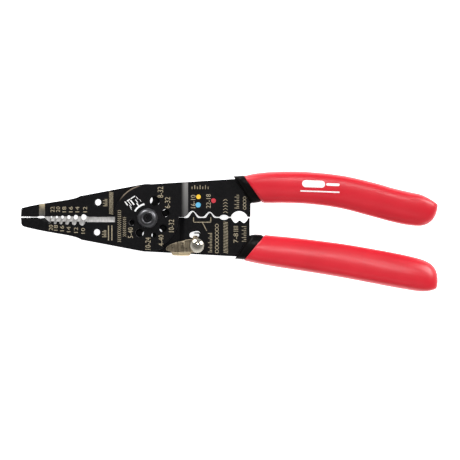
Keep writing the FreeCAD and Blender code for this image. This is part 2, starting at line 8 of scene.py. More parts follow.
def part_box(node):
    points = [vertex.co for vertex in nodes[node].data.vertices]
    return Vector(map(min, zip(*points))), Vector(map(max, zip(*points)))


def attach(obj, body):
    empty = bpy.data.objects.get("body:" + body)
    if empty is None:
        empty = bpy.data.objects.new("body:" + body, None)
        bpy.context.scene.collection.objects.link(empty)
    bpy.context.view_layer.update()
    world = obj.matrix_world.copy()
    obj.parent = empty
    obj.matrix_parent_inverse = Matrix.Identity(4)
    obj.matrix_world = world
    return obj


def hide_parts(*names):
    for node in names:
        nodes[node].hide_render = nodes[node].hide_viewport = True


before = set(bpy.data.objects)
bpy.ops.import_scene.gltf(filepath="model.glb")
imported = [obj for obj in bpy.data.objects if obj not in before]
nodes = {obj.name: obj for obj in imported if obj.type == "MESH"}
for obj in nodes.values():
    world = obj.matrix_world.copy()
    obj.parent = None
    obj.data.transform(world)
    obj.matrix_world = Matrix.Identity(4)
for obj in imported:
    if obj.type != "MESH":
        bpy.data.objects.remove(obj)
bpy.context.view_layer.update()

MM = 0.001
LAP_GAP = 0.1 * MM                                  # play between the lapped faces


def low(name):
    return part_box(name)[0]


def high(name):
    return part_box(name)[1]


# Heights of the printed faces and of the middle of the tool, read from the frame
FRONT_FACE = high("front_blade").z                  # outer face of the front boss and jaw
HANDLE_FACE = high("rear_blade").z                  # level face of both handles
MID = (low("front_blade").z + HANDLE_FACE) / 2
SHEET = FRONT_FACE - MID - LAP_GAP / 2
REAR_FACE = low("rear_blade").z + SHEET             # front face of the rear boss and jaw


# ---------------------------------------------------------------- materials
def new_material(name):
    """A material with one Principled shader, returned with its node tree and that shader."""
    material = bpy.data.materials.new(name)
    material.use_nodes = True
    tree = material.node_tree
    shader = next(n for n in tree.nodes if n.type == "BSDF_PRINCIPLED")
    return material, tree, shader


def add(tree, kind, *sources, **settings):
    """Add a node, set its properties, and feed its inputs in order.

    A source is a socket, which is linked, a plain value, which is set, or None.
    """
    made = tree.nodes.new(kind)
    for key, value in settings.items():
        setattr(made, key, value)
    for socket, source in zip(made.inputs, sources):
        if isinstance(source, bpy.types.NodeSocket):
            tree.links.new(source, socket)
        elif source is not None:
            socket.default_value = source
    return made


def link(tree, source, target):
    tree.links.new(source, target)


def object_coords(tree):
    return tree.nodes.new("ShaderNodeTexCoord")


def noise(tree, coords, scale, detail):
    made = tree.nodes.new("ShaderNodeTexNoise")
    link(tree, coords, made.inputs["Vector"])
    made.inputs["Scale"].default_value = scale
    made.inputs["Detail"].default_value = detail
    made.inputs["Roughness"].default_value = 0.55
    return made.outputs["Fac"]


def ramp(tree, factor, stops):
    """A colour ramp from (position, colour) pairs."""
    made = tree.nodes.new("ShaderNodeValToRGB")
    link(tree, factor, made.inputs["Fac"])
    elements = made.color_ramp.elements
    while len(elements) < len(stops):
        elements.new(0.5)
    for element, (position, colour) in zip(elements, stops):
        element.position = position
        element.color = (*colour, 1.0)
    return made.outputs["Color"]


def remap(tree, value, low_in, high_in, low_out, high_out):
    made = tree.nodes.new("ShaderNodeMapRange")
    link(tree, value, made.inputs["Value"])
    for key, number in (("From Min", low_in), ("From Max", high_in),
                        ("To Min", low_out), ("To Max", high_out)):
        made.inputs[key].default_value = number
    return made.outputs["Result"]


def math_node(tree, operation, first, second=None):
    return add(tree, "ShaderNodeMath", first, second, operation=operation).outputs[0]


def product(tree, *values):
    result = values[0]
    for value in values[1:]:
        result = math_node(tree, "MULTIPLY", result, value)
    return result


def within(tree, value, lowest, highest, soft):
    """1 where the value lies between two limits, fading to 0 over a soft margin."""
    up = remap(tree, value, lowest - soft, lowest + soft, 0, 1)
    down = remap(tree, value, highest - soft, highest + soft, 1, 0)
    return product(tree, up, down)


def mix(tree, factor, first, second, data_type, socket_type):
    """Blend of two sources, each a socket or a plain value."""
    made = tree.nodes.new("ShaderNodeMix")
    made.data_type = data_type
    link(tree, factor, made.inputs["Factor"])
    for key, source in (("A", first), ("B", second)):
        socket = next(i for i in made.inputs if i.name == key and i.type == socket_type)
        if isinstance(source, bpy.types.NodeSocket):
            link(tree, source, socket)
        else:
            socket.default_value = source
    return next(o for o in made.outputs if o.type == socket_type)


def mix_colour(tree, factor, first, second):
    first, second = (c if isinstance(c, bpy.types.NodeSocket) else (*c, 1.0) for c in (first, second))
    return mix(tree, factor, first, second, "RGBA", "RGBA")


def mix_value(tree, factor, first, second):
    return mix(tree, factor, first, second, "FLOAT", "VALUE")


def bump(tree, shader, height, strength, distance):
    made = tree.nodes.new("ShaderNodeBump")
    link(tree, height, made.inputs["Height"])
    made.inputs["Strength"].default_value = strength
    made.inputs["Distance"].default_value = distance
    link(tree, made.outputs["Normal"], shader.inputs["Normal"])


def stretched(tree, coords, x, y, z):
    made = tree.nodes.new("ShaderNodeMapping")
    link(tree, coords, made.inputs["Vector"])
    made.inputs["Scale"].default_value = (x, y, z)
    return made.outputs["Vector"]


# Places of the blades' finish and of their painted highlights, in millimetres
GROUND_X = (-51.8, -16.45)           # stretch of the ground edges
GROUND_DEPTH = (-4.8, 1.2)           # from behind the edge to just past it
RUN_OUT_X, RUN_OUT_SLOPE = 51.9, 0.75  # the grinding runs out towards the nose along a slant
HANDLE_RAMP_X = (17.0, 18.9)         # the painted highlight on the handle ramp fades in
RAMP_PAINTED_HIGHLIGHT_Y = (1.0, 17.0)           # and grows towards its upper end
NOSE_X = -40.0                       # the nose lies to the left
# painted highlight on the nose ramp, lighter towards its upper end
NOSE_PAINTED_HIGHLIGHT_Y = (1.0, 6.0)
RIM_PAINTED_HIGHLIGHT_RADIUS = (16.35, 17.2)          # painted highlight along the front boss rim
RIM_PAINTED_HIGHLIGHT_X = (-13.0, -4.5)
RIM_PAINTED_HIGHLIGHT_Y = 8.0


def blade_material(name, side):
    """Black oxide steel, ground bare behind the cutting edge, with painted highlights on its ramps and on the
    front boss rim.  side: 1 front, -1 rear.
    """
    material, tree, shader = new_material(name)
    texture = object_coords(tree)
    coords = texture.outputs["Object"]
    place = add(tree, "ShaderNodeSeparateXYZ", coords)
    x, y = place.outputs["X"], place.outputs["Y"]
    facing = add(tree, "ShaderNodeSeparateXYZ", texture.outputs["Normal"])
    grain = noise(tree, coords, 1400, 3)
    cloud = noise(tree, coords, 70, 4)
    black = ramp(tree, grain, [(0.25, (0.0035, 0.0035, 0.0038)), (0.75, (0.0085, 0.0082, 0.0088))])
    streaks = noise(tree, stretched(tree, coords, 1400, 90, 400), 1.0, 3)
    bare = ramp(tree, streaks, [(0.2, (0.23, 0.223, 0.217)), (0.8, (0.49, 0.478, 0.466))])

    def between(value, limits, soft):
        return within(tree, value, limits[0] * MM, limits[1] * MM, soft * MM)

    def rising(value, limits):
        return remap(tree, value, limits[0] * MM, limits[1] * MM, 0, 1)

    # ground zone: along the edge, on faces that neither lie flat nor stand upright
    depth = math_node(tree, "MULTIPLY", y, float(side))
    run_out = math_node(tree, "MULTIPLY_ADD", x, RUN_OUT_SLOPE)
    run_out.node.inputs[2].default_value = RUN_OUT_X * RUN_OUT_SLOPE * MM
    inside = math_node(tree, "ADD", depth, run_out)
    across = product(tree, between(depth, GROUND_DEPTH, 0.1), rising(inside, (0.0, 0.1)))
    level = math_node(tree, "ABSOLUTE", facing.outputs["Z"])
    tilted = math_node(tree, "LESS_THAN", level, 0.97)
    ground = product(tree, between(x, GROUND_X, 0.1), across, tilted)

    # the ramps that face the handles shine more than the flats, and carry a painted highlight: a lighter
    # colour that grows towards their upper end
    sloped = product(tree, within(tree, level, 0.35, 0.965, 0.01),
                     math_node(tree, "GREATER_THAN", facing.outputs["X"], 0.1))
    onset = math_node(tree, "MAXIMUM", rising(x, HANDLE_RAMP_X), math_node(tree, "LESS_THAN", x, 0.0))
    sloped = product(tree, sloped, onset)
    # painted highlight: the nose ramp is painted a light gold that grows towards its upper end
    nose = product(tree, sloped, math_node(tree, "LESS_THAN", x, NOSE_X * MM), rising(y, NOSE_PAINTED_HIGHLIGHT_Y))
    # painted highlight colour of the ramps, dark at the lower end and light at the upper end
    painted_ramp_highlight = ramp(tree, rising(y, RAMP_PAINTED_HIGHLIGHT_Y),
                     [(0.0, (0.04, 0.038, 0.036)), (1.0, (0.15, 0.145, 0.14))])
    oxide = mix_colour(tree, nose, mix_colour(tree, sloped, black, painted_ramp_highlight), (0.14, 0.115, 0.07))

    # painted highlight: the front boss is painted lighter along the upper left of its rim, where its edge
    # catches the light
    if side > 0:
        plan = add(tree, "ShaderNodeCombineXYZ", x, y)
        length = add(tree, "ShaderNodeVectorMath", plan.outputs["Vector"], operation="LENGTH")
        rim = product(tree, between(length.outputs["Value"], RIM_PAINTED_HIGHLIGHT_RADIUS, 0.12), between(x, RIM_PAINTED_HIGHLIGHT_X, 1.2),
                      math_node(tree, "GREATER_THAN", y, RIM_PAINTED_HIGHLIGHT_Y * MM))
        oxide = mix_colour(tree, rim, oxide, (0.20, 0.16, 0.12))

    link(tree, mix_colour(tree, ground, oxide, bare), shader.inputs["Base Color"])
    metal = math_node(tree, "MAXIMUM", product(tree, ground, 0.45), product(tree, nose, 0.8))
    link(tree, metal, shader.inputs["Metallic"])
    rough = mix_value(tree, sloped, remap(tree, cloud, 0.3, 0.7, 0.36, 0.48), 0.36)
    link(tree, mix_value(tree, ground, rough, 0.45), shader.inputs["Roughness"])
    shine = mix_value(tree, sloped, 0.08, 0.95)
    link(tree, mix_value(tree, ground, shine, 0.5), shader.inputs["Specular IOR Level"])
    bump(tree, shader, grain, 0.25, 0.02 * MM)
    return material


def metal_material(name, dark, light, rough_low, rough_high, metallic=1.0):
    """Bare or plated metal with cloudy colour and fine scratches."""
    material, tree, shader = new_material(name)
    coords = object_coords(tree).outputs["Object"]
    cloud = noise(tree, coords, 300, 5)
    fine = noise(tree, coords, 3000, 3)
    link(tree, ramp(tree, cloud, [(0.3, dark), (0.7, light)]), shader.inputs["Base Color"])
    shader.inputs["Metallic"].default_value = metallic
    link(tree, remap(tree, cloud, 0.3, 0.7, rough_high, rough_low), shader.inputs["Roughness"])
    bump(tree, shader, fine, 0.12, 0.01 * MM)
    return material


TAB_PAINTED_HIGHLIGHT_Y = (-17.0, -18.0)            # painted highlight: the lever's thumb tab is painted lighter more and more between these


def lever_material(name):
    """Warm nickel, brushed across the lever, with a painted highlight along its tab."""
    material, tree, shader = new_material(name)
    coords = object_coords(tree).outputs["Object"]
    place = add(tree, "ShaderNodeSeparateXYZ", coords)
    cloud = noise(tree, coords, 500, 4)
    brushed = noise(tree, stretched(tree, coords, 1500, 250, 400), 1.0, 3)
    plain = ramp(tree, brushed, [(0.3, (0.13, 0.105, 0.075)), (0.7, (0.42, 0.35, 0.24))])
    # painted highlight: the tab's colour grows lighter towards its lower edge
    painted_tab_highlight = remap(tree, place.outputs["Y"], TAB_PAINTED_HIGHLIGHT_Y[0] * MM, TAB_PAINTED_HIGHLIGHT_Y[1] * MM, 0, 1)
    link(tree, mix_colour(tree, painted_tab_highlight, plain, (0.58, 0.47, 0.29)), shader.inputs["Base Color"])
    shader.inputs["Metallic"].default_value = 0.8
    link(tree, remap(tree, cloud, 0.3, 0.7, 0.38, 0.26), shader.inputs["Roughness"])
    bump(tree, shader, brushed, 0.3, 0.02 * MM)
    return material


def vinyl_material(name, deep, bright, roughness, shine):
    """Soft dipped plastic with a faint orange-peel skin."""
    material, tree, shader = new_material(name)
    coords = object_coords(tree).outputs["Object"]
    cloud = noise(tree, coords, 45, 3)
    skin = noise(tree, coords, 900, 4)
    link(tree, ramp(tree, cloud, [(0.35, deep), (0.65, bright)]), shader.inputs["Base Color"])
    rough = remap(tree, skin, 0.3, 0.7, roughness - 0.02, roughness + 0.02)
    link(tree, rough, shader.inputs["Roughness"])
    shader.inputs["Specular IOR Level"].default_value = shine
    bump(tree, shader, skin, 0.03, 0.03 * MM)
    return material


def ink_material(name, thin, full):
    """Pad-printed ink, a little patchy."""
    material, tree, shader = new_material(name)
    coords = object_coords(tree).outputs["Object"]
    patch = noise(tree, coords, 2200, 3)
    link(tree, ramp(tree, patch, [(0.3, thin), (0.6, full)]), shader.inputs["Base Color"])
    shader.inputs["Roughness"].default_value = 0.6
    return material


BLADE_FRONT = blade_material("black_oxide_front", 1)
BLADE_REAR = blade_material("black_oxide_rear", -1)
PIVOT_STEEL = metal_material("pivot_steel", (0.11, 0.11, 0.115), (0.17, 0.17, 0.18), 0.34, 0.42)
BOLT_STEEL = metal_material("bolt_steel", (0.035, 0.035, 0.037), (0.06, 0.06, 0.064), 0.28, 0.4)
SPRING_STEEL = metal_material("spring_steel", (0.20, 0.20, 0.21), (0.34, 0.34, 0.36), 0.3, 0.4)
NICKEL = lever_material("warm_nickel")
DOME_NICKEL = metal_material("bright_nickel", (0.70, 0.66, 0.56), (0.90, 0.85, 0.74), 0.05, 0.09, 0.86)
RED = vinyl_material("red_vinyl", (0.55, 0.0085, 0.020), (0.61, 0.0125, 0.026), 0.33, 0.55)
BLACK_RUBBER = vinyl_material("black_liner", (0.002, 0.0018, 0.0018), (0.004, 0.0036, 0.0036),
                              0.30, 0.12)
# painted shade: the hook is part of the nickel latch, made near black for the shade inside the slot
HOOK_PAINTED_SHADE = metal_material("hook_painted_shade", (0.02, 0.02, 0.021), (0.035, 0.035, 0.037), 0.35, 0.45)
TAN_INK = ink_material("tan_ink", (0.15, 0.125, 0.08), (0.40, 0.34, 0.23))
WHITE_INK = ink_material("white_ink", (0.70, 0.70, 0.70), (0.92, 0.92, 0.92))
DOT_INKS = {
    "yellow": ink_material("yellow_ink", (0.75, 0.42, 0.02), (0.90, 0.55, 0.03)),
    "blue": ink_material("blue_ink", (0.08, 0.35, 0.55), (0.12, 0.45, 0.70)),
    "red": ink_material("red_ink", (0.38, 0.015, 0.03), (0.56, 0.03, 0.045)),
}


def give(obj, material):
    obj.data.materials.clear()
    obj.data.materials.append(material)


for node_name, material in {
    "front_blade": BLADE_FRONT, "rear_blade": BLADE_REAR, "pivot_bolt": BOLT_STEEL,
    "pivot_nut": PIVOT_STEEL, "pivot_washer": PIVOT_STEEL, "return_spring": SPRING_STEEL,
    "latch_lever": NICKEL, "latch_rivet": NICKEL, "latch_rivet_burr": NICKEL,
    "latch_spring_washer": SPRING_STEEL, "upper_grip_liner": BLACK_RUBBER,
    "lower_grip_liner": BLACK_RUBBER, "upper_grip": RED, "lower_grip": RED,
}.items():
    give(nodes[node_name], material)


EDGE_WIDTH = 0.14


def round_edges(name):
    """Breaks the sharp edges of a CAD node so that they catch the light."""
    weld = nodes[name].modifiers.new("weld", "WELD")
    weld.merge_threshold = 0.002 * MM
    rounding = nodes[name].modifiers.new("edge", "BEVEL")
    rounding.width = EDGE_WIDTH * MM
    rounding.segments = 2
    rounding.limit_method = "ANGLE"
    rounding.angle_limit = math.radians(35)
    rounding.use_clamp_overlap = False


for blade in ("front_blade", "rear_blade"):
    round_edges(blade)


# ---------------------------------------------------------------- stage and camera
TOOL_CENTRE = (40 * MM, 0, 5 * MM)
FLOOR_HALF = 2.0
FLOOR_LEVEL = -0.2 * MM


def look_at(obj, target):
    direction = Vector(target) - obj.location
    obj.rotation_euler = direction.to_track_quat("-Z", "Y").to_euler()


def area_light(name, place, size, power):
    """A white softbox that points at the middle of the tool."""
    data = bpy.data.lights.new(name, "AREA")
    data.shape = "RECTANGLE"
    data.size, data.size_y = size
    data.energy = power
    light = bpy.data.objects.new(name, data)
    bpy.context.scene.collection.objects.link(light)
    light.location = place
    look_at(light, TOOL_CENTRE)
    return light


def make_floor():
    mesh = bpy.data.meshes.new("floor")
    corners = ((-1, -1), (1, -1), (1, 1), (-1, 1))
    mesh.from_pydata([(x * FLOOR_HALF, y * FLOOR_HALF, FLOOR_LEVEL) for x, y in corners], [], [(0, 1, 2, 3)])
    floor = bpy.data.objects.new("floor", mesh)
    bpy.context.scene.collection.objects.link(floor)
    material, tree, shader = new_material("white_sweep")
    shader.inputs["Base Color"].default_value = (0.9, 0.9, 0.9, 1)
    shader.inputs["Roughness"].default_value = 0.9
    shader.inputs["Specular IOR Level"].default_value = 0.0
    shader.inputs["Emission Color"].default_value = (1, 1, 1, 1)
    shader.inputs["Emission Strength"].default_value = 0.95
    floor.data.materials.append(material)


PHOTO_WIDTH = 232.0 * MM               # width of the floor that the picture takes in
VIEW_CENTRE = Vector((41.4, -5.97, 0.0)) * MM


def make_camera():
    data = bpy.data.cameras.new("camera")
    data.lens = 120
    data.sensor_width = 36
    camera = bpy.data.objects.new("camera", data)
    bpy.context.scene.collection.objects.link(camera)
    distance = PHOTO_WIDTH * data.lens / data.sensor_width
    camera.location = VIEW_CENTRE + Vector((0, 0, MID + distance))   # unturned, it looks straight down
    data.clip_start = 0.01
    data.clip_end = 20
    bpy.context.scene.camera = camera


SKY_LEAN = 0.35
SKY_GREYS = ((0.0, 1.0), (0.28, 0.9), (0.5, 0.3), (0.8, 0.03))     # (height, grey)


def make_world():
    """A dark ceiling over a light horizon; the dark part leans towards +Y."""
    world = bpy.data.worlds.new("studio")
    bpy.context.scene.world = world
    world.use_nodes = True
    tree = world.node_tree
    background = next(n for n in tree.nodes if n.type == "BACKGROUND")
    coords = tree.nodes.new("ShaderNodeTexCoord")
    place = add(tree, "ShaderNodeSeparateXYZ", coords.outputs["Generated"])
    level = math_node(tree, "MULTIPLY_ADD", place.outputs["Y"], SKY_LEAN)
    link(tree, place.outputs["Z"], level.node.inputs[2])
    sky = ramp(tree, level, [(height, (grey, grey, grey)) for height, grey in SKY_GREYS])
    link(tree, sky, background.inputs["Color"])
    background.inputs["Strength"].default_value = 0.6


make_camera()
make_floor()
make_world()
fills = [
    area_light("overhead_back", (0.05, 0.45, 1.05), (1.1, 0.35), 1.7),
    area_light("overhead_front", (0.05, -0.50, 1.0), (1.1, 0.3), 4.0),
]
for light in fills:
    light.visible_glossy = False       # they only fill, and leave no streak along the grips
area_light("front_glow", (0.10, 0.38, 1.05), (0.12, 0.12), 1.2)
area_light("tip_glow", (0.30, 0.32, 1.05), (0.12, 0.12), 0.9)
area_light("right_softbox", (0.80, 0.50, 0.60), (0.55, 0.50), 8)
area_light("left_softbox", (-0.46, 0.85, 0.50), (0.55, 0.50), 8.5)
bpy.context.scene.view_settings.view_transform = "Standard"


# ---------------------------------------------------------------- mesh helpers
def piece(name, vertices, faces, material, body, smooth=True, replaced=()):
    """A mesh piece from points in millimetres, riding on a body."""
    mesh = bpy.data.meshes.new(name)
    mesh.from_pydata([(x * MM, y * MM, z * MM) for x, y, z in vertices], [], faces)
    mesh.validate()
    mesh.update()
    if smooth:
        mesh.polygons.foreach_set("use_smooth", [True] * len(mesh.polygons))
    made = bpy.data.objects.new(name, mesh)
    bpy.context.scene.collection.objects.link(made)
    made.data.materials.append(material)
    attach(made, body)
    if replaced:
        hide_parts(*replaced)
    return made


def catmull(points, count):
    """Points spread evenly along a smooth curve through the given points."""
    points = [Vector(p) for p in points]
    padded = [2 * points[0] - points[1]] + points + [2 * points[-1] - points[-2]]
    dense = []
    for p0, p1, p2, p3 in zip(padded, padded[1:], padded[2:], padded[3:]):
        for step in range(24):
            t = step / 24
            dense.append(0.5 * (2 * p1 + (p2 - p0) * t + (2 * p0 - 5 * p1 + 4 * p2 - p3) * t * t
                                + (3 * p1 - p0 - 3 * p2 + p3) * t ** 3))
    dense.append(points[-1])
    lengths = [0.0]
    for a, b in zip(dense, dense[1:]):
        lengths.append(lengths[-1] + (b - a).length)
    result = []
    index = 0
    for n in range(count):
        wanted = lengths[-1] * n / (count - 1)
        while index < len(dense) - 2 and lengths[index + 1] < wanted:
            index += 1
        span = max(lengths[index + 1] - lengths[index], 1e-9)
        result.append(dense[index].lerp(dense[index + 1], (wanted - lengths[index]) / span))
    return result


def superellipse(angle, power):
    """A point on a rounded square of half size 1."""
    c, s = math.cos(angle), math.sin(angle)
    return (math.copysign(abs(c) ** (2 / power), c), math.copysign(abs(s) ** (2 / power), s))


RING = 56                             # points round a section


def tube(sections):
    """Vertices and faces of a skin over a row of rings, closed by a fan of triangles at each end."""
    ring = RING
    vertices, faces = [], []
    for section in sections:
        vertices += section
    for row in range(len(sections) - 1):
        for k in range(ring):
            a = row * ring + k
            b = row * ring + (k + 1) % ring
            faces.append((a, b, b + ring, a + ring))
    for end, section in ((0, sections[0]), (len(sections) - 1, sections[-1])):
        middle = [sum(v[axis] for v in section) / ring for axis in range(3)]
        vertices.append(middle)
        tip = len(vertices) - 1
        for k in range(ring):
            a = end * ring + k
            b = end * ring + (k + 1) % ring
            faces.append((b, a, tip) if end == 0 else (a, b, tip))
    return vertices, faces


# ---------------------------------------------------------------- grips
# Each rib: (lower edge), (upper edge), half thickness of the section, in millimetres
UPPER_RIBS = [
    ((57.7, 7.7), (48.1, 21.3), 5.6), ((62.5, 7.65), (55.1, 22.7), 5.85),
    ((69.11, 7.7), (64.88, 23.5), 6.0), ((81.9, 7.1), (79.9, 23.4), 5.75),
    ((97.1, 5.0), (98.3, 21.45), 5.3), ((112.2, 1.1), (114.2, 17.85), 5.35),
    ((121.0, -1.3), (123.3, 15.25), 5.75), ((128.86, -3.1), (131.16, 13.4), 6.0),
    ((135.18, -3.9), (137.28, 12.05), 5.75), ((138.69, -3.7), (140.59, 10.55), 5.35),
    ((141.44, -2.65), (142.94, 9.25), 4.75), ((143.55, -0.9), (144.65, 8.1), 3.95),
    ((145.05, 1.6), (145.65, 7.3), 2.9), ((145.85, 4.2), (146.05, 6.75), 1.4),
]
LOWER_RIBS = [
    ((48.3, -21.3), (58.9, -8.4), 5.6), ((56.0, -23.0), (64.5, -8.95), 5.85),
    ((65.38, -24.65), (69.58, -9.4), 6.0), ((78.9, -26.75), (80.4, -10.6), 5.75),
    ((96.0, -29.55), (98.9, -13.05), 5.3), ((111.0, -32.35), (114.0, -15.6), 5.35),
    ((120.0, -34.1), (123.0, -17.25), 5.75), ((128.56, -35.65), (131.66, -19.05), 6.0),
    ((134.79, -36.65), (138.19, -20.8), 5.75), ((138.61, -37.0), (141.81, -22.45), 5.35),
    ((141.65, -36.75), (144.05, -24.4), 4.7), ((143.75, -36.25), (145.45, -26.9), 3.8),
    ((145.05, -35.75), (146.05, -29.9), 2.6), ((145.55, -35.15), (146.15, -32.1), 1.3),
]
GRIP_RINGS = 120
GRIP_POWER = 2.35                     # 2 would be an ellipse, more is squarer


def ring_about(centre, reach, thick, power, skew):
    """One ring: reach is half the width as a vector; skew moves the thickest place to one side."""
    section = []
    for k in range(RING):
        u, v = superellipse(2 * math.pi * k / RING, power)
        u += skew * (1 - u * u)
        section.append(tuple(centre + reach * u + Vector((0, 0, thick * v))))
    return section


def swept(ribs, count, power, skew):
    """Rings spread evenly along a smooth curve through the ribs."""
    lower = catmull([(*r[0], r[2]) for r in ribs], count)
    upper = catmull([(*r[1], r[2]) for r in ribs], count)
    sections = []
    for a, b in zip(lower, upper):
        thick = (a.z + b.z) / 2
        centre = Vector(((a.x + b.x) / 2, (a.y + b.y) / 2, MID / MM))
        reach = Vector(((b.x - a.x) / 2, (b.y - a.y) / 2, 0))
        sections.append(ring_about(centre, reach, thick, power, skew))
    return sections


def shrunk(section, amount, along):
    """A ring pulled in towards its middle and moved along X and Y."""
    middle = Vector([sum(v[axis] for v in section) / len(section) for axis in range(3)])
    return [tuple(middle + (Vector(v) - middle) * amount + Vector((*along, 0))) for v in section]


# Rings of a grip's rounded front edge: (size, how far back in millimetres)
LIP = ((0.72, 0.10), (0.86, 0.0), (0.93, 0.03), (0.97, 0.12), (0.99, 0.3), (1.0, 0.7))


def with_lip(sections):
    """Puts a rounded front edge in place of the first ring."""
    first = sections[0]
    back = (Vector(sections[1][0]) - Vector(first[0])).normalized()
    lip = [shrunk(first, size, (back.x * push, back.y * push)) for size, push in LIP]
    return lip + sections[1:]


def make_grip(name, ribs, skew, body, node):
    vertices, faces = tube(with_lip(swept(ribs, GRIP_RINGS, GRIP_POWER, skew)))
    return piece(name, vertices, faces, RED, body, replaced=(node,))


upper_grip_skin = make_grip("upper_grip_skin", UPPER_RIBS, 0.28, "front_half", "upper_grip")
make_grip("lower_grip_skin", LOWER_RIBS, -0.28, "rear_half", "lower_grip")


# ---------------------------------------------------------------- collars of the liners
UPPER_COLLAR = [
    ((51.9, 7.5), (43.0, 21.3), 2.6), ((53.5, 7.5), (45.1, 21.4), 4.75),
    ((54.3, 7.6), (46.0, 21.55), 4.85), ((56.4, 7.9), (47.7, 21.7), 4.85),
    ((58.4, 8.0), (49.4, 21.7), 4.8), ((60.0, 8.1), (51.0, 21.7), 4.5),
]
LOWER_COLLAR = [
    ((43.8, -20.6), (52.0, -8.3), 2.6), ((45.5, -20.7), (53.7, -8.1), 4.75),
    ((46.3, -20.8), (54.5, -8.05), 4.85), ((48.0, -21.0), (57.2, -8.2), 4.85),
    ((49.7, -21.3), (59.2, -8.5), 4.8), ((51.3, -21.5), (60.6, -8.8), 4.5),
]
COLLAR_POWER = 3.0
COLLAR_VISIBLE = 4                    # ribs ahead of the grip; the others are drawn in to go under it


def make_collar(name, ribs, skew, body, node):
    sections = []
    for index, (a, b, thick) in enumerate(ribs):
        centre = Vector(((a[0] + b[0]) / 2, (a[1] + b[1]) / 2, MID / MM))
        reach = Vector(((b[0] - a[0]) / 2, (b[1] - a[1]) / 2, 0))
        reach *= 0.985 if index < COLLAR_VISIBLE else 0.88
        sections.append(ring_about(centre, reach, thick, COLLAR_POWER, skew))
    vertices, faces = tube(sections)
    made = piece(name, vertices, faces, BLACK_RUBBER, body, replaced=(node,))
    rounding = made.modifiers.new("edge", "BEVEL")
    rounding.width = 0.18 * MM
    rounding.segments = 2
    rounding.limit_method = "ANGLE"
    rounding.angle_limit = math.radians(25)


make_collar("upper_collar", UPPER_COLLAR, 0.2, "front_half", "upper_grip_liner")
make_collar("lower_collar", LOWER_COLLAR, -0.2, "rear_half", "lower_grip_liner")


# ---------------------------------------------------------------- turned pieces
TURNED_STEPS = 64


def turned(name, centre, profile, material, body, replaced):
    """A piece turned about an upright axis from (radius, height) pairs."""
    vertices, faces = [], []
    for radius, height in profile:
        for k in range(TURNED_STEPS):
            angle = 2 * math.pi * k / TURNED_STEPS
            vertices.append((centre[0] + radius * math.cos(angle),
                             centre[1] + radius * math.sin(angle), height))
    for row in range(len(profile) - 1):
        for k in range(TURNED_STEPS):
            a = row * TURNED_STEPS + k
            b = row * TURNED_STEPS + (k + 1) % TURNED_STEPS
            faces.append((a, b, b + TURNED_STEPS, a + TURNED_STEPS))
    return piece(name, vertices, faces, material, body, replaced=replaced)


NUT_BORE, NUT_RADIUS = 2.2, 4.5
NUT_LIP = (0.5, 0.4)                  # width and height of the rounding round the bore
NUT_SLOPE = 1.15                      # drop of the convex slope from the lip to the rim
NUT_SEAT = 0.01                       # play between the nut and its washer


def make_nut():
    base = low("pivot_nut").z / MM + NUT_SEAT
    top = high("pivot_nut").z / MM
    lip_width, lip_height = NUT_LIP
    profile = [(NUT_BORE, base + 0.2), (NUT_BORE, top - lip_height - 0.1)]
    for lean in range(0, 91, 15):
        a = math.radians(lean)
        profile.append((NUT_BORE + lip_width * (1 - math.cos(a)), top - lip_height * (1 - math.sin(a))))
    for lean in range(10, 91, 8):
        a = math.radians(lean)
        reach = NUT_RADIUS - NUT_BORE - lip_width
        profile.append((NUT_RADIUS - reach * (1 - math.sin(a)), top - NUT_SLOPE * (1 - math.cos(a))))
    profile += [(NUT_RADIUS, base + 0.2), (NUT_RADIUS - 0.1, base)]
    profile += [(NUT_BORE, base), (NUT_BORE, base + 0.2)]
    turned("domed_nut", (0, 0), profile, PIVOT_STEEL, "rear_half", ("pivot_nut",))


make_nut()


# ---------------------------------------------------------------- latch
RIVET = (24.9, -13.8)
LEVER_GAP = 0.25                       # height of the spring washer under the lever
LEVER_UNDER = HANDLE_FACE / MM + LEVER_GAP
LEVER_TOP = LEVER_UNDER + 1.0
LEVER_FLAT = LEVER_TOP - 0.1           # its flat level, under the relief
LEVER_SHEET = 0.75
LEVER_ROUND = 0.26                     # rounding of its upper edges
LEVER_CELLS = (130, 60)                # cells along X and Y

# Its outline, as points of the upper and the lower edge from the nose to the rivet
LEVER_UPPER = [(9.15, -15.3), (9.4, -14.6), (10.0, -14.05), (11.0, -13.4), (12.2, -12.8),
               (18.9, -10.95), (22.1, -10.35), (24.9, -10.25)]
LEVER_LOWER = [(9.15, -15.6), (9.3, -16.1), (9.8, -16.3), (11.5, -16.6), (11.85, -17.5), (12.2, -18.3),
               (12.9, -18.8), (16.5, -19.0), (20.7, -19.0), (21.4, -18.6), (21.9, -17.3), (24.9, -17.3)]

# Its pressed relief
TONGUE_X, TONGUE_DROP = 15.2, 0.34     # the nose is pressed down, left of this line
RIDGE_X, RIDGE_RISE = 15.55, 0.10      # a ridge runs beside the step
TAB_X = 11.8                           # the thumb tab begins here
CURL_Y, CURL_DROP = -18.2, 0.9         # its lower edge curls down
LIFT_X, LIFT_Y, LIFT_RISE = 13.0, -17.9, 0.22    # and stands up before the curl
LOCK_BODY, LOCK_BODY_HALF, LOCK_BODY_RISE = (17.5, -14.1), (1.05, 0.95), 0.16
LOCK_BOW, LOCK_BOW_RADII, LOCK_BOW_RISE = (17.5, -12.95), (0.78, 0.95), 0.14
LOCK_BOW_FROM_Y = -13.3


def spread(points, x):
    """Height of a line of (x, y) points above x."""
    for (xa, ya), (xb, yb) in zip(points, points[1:]):
        if xa <= x <= xb:
            return ya + (yb - ya) * (x - xa) / max(xb - xa, 1e-9)
    return points[-1][1] if x > points[-1][0] else points[0][1]


def bell_curve(value, centre, width):
    return math.exp(-((value - centre) / width) ** 2)


def plateau(value, centre, half):
    """1 over most of the stretch, falling steeply to 0 at its ends."""
    return max(0.0, 1 - (abs(value - centre) / half) ** 6)


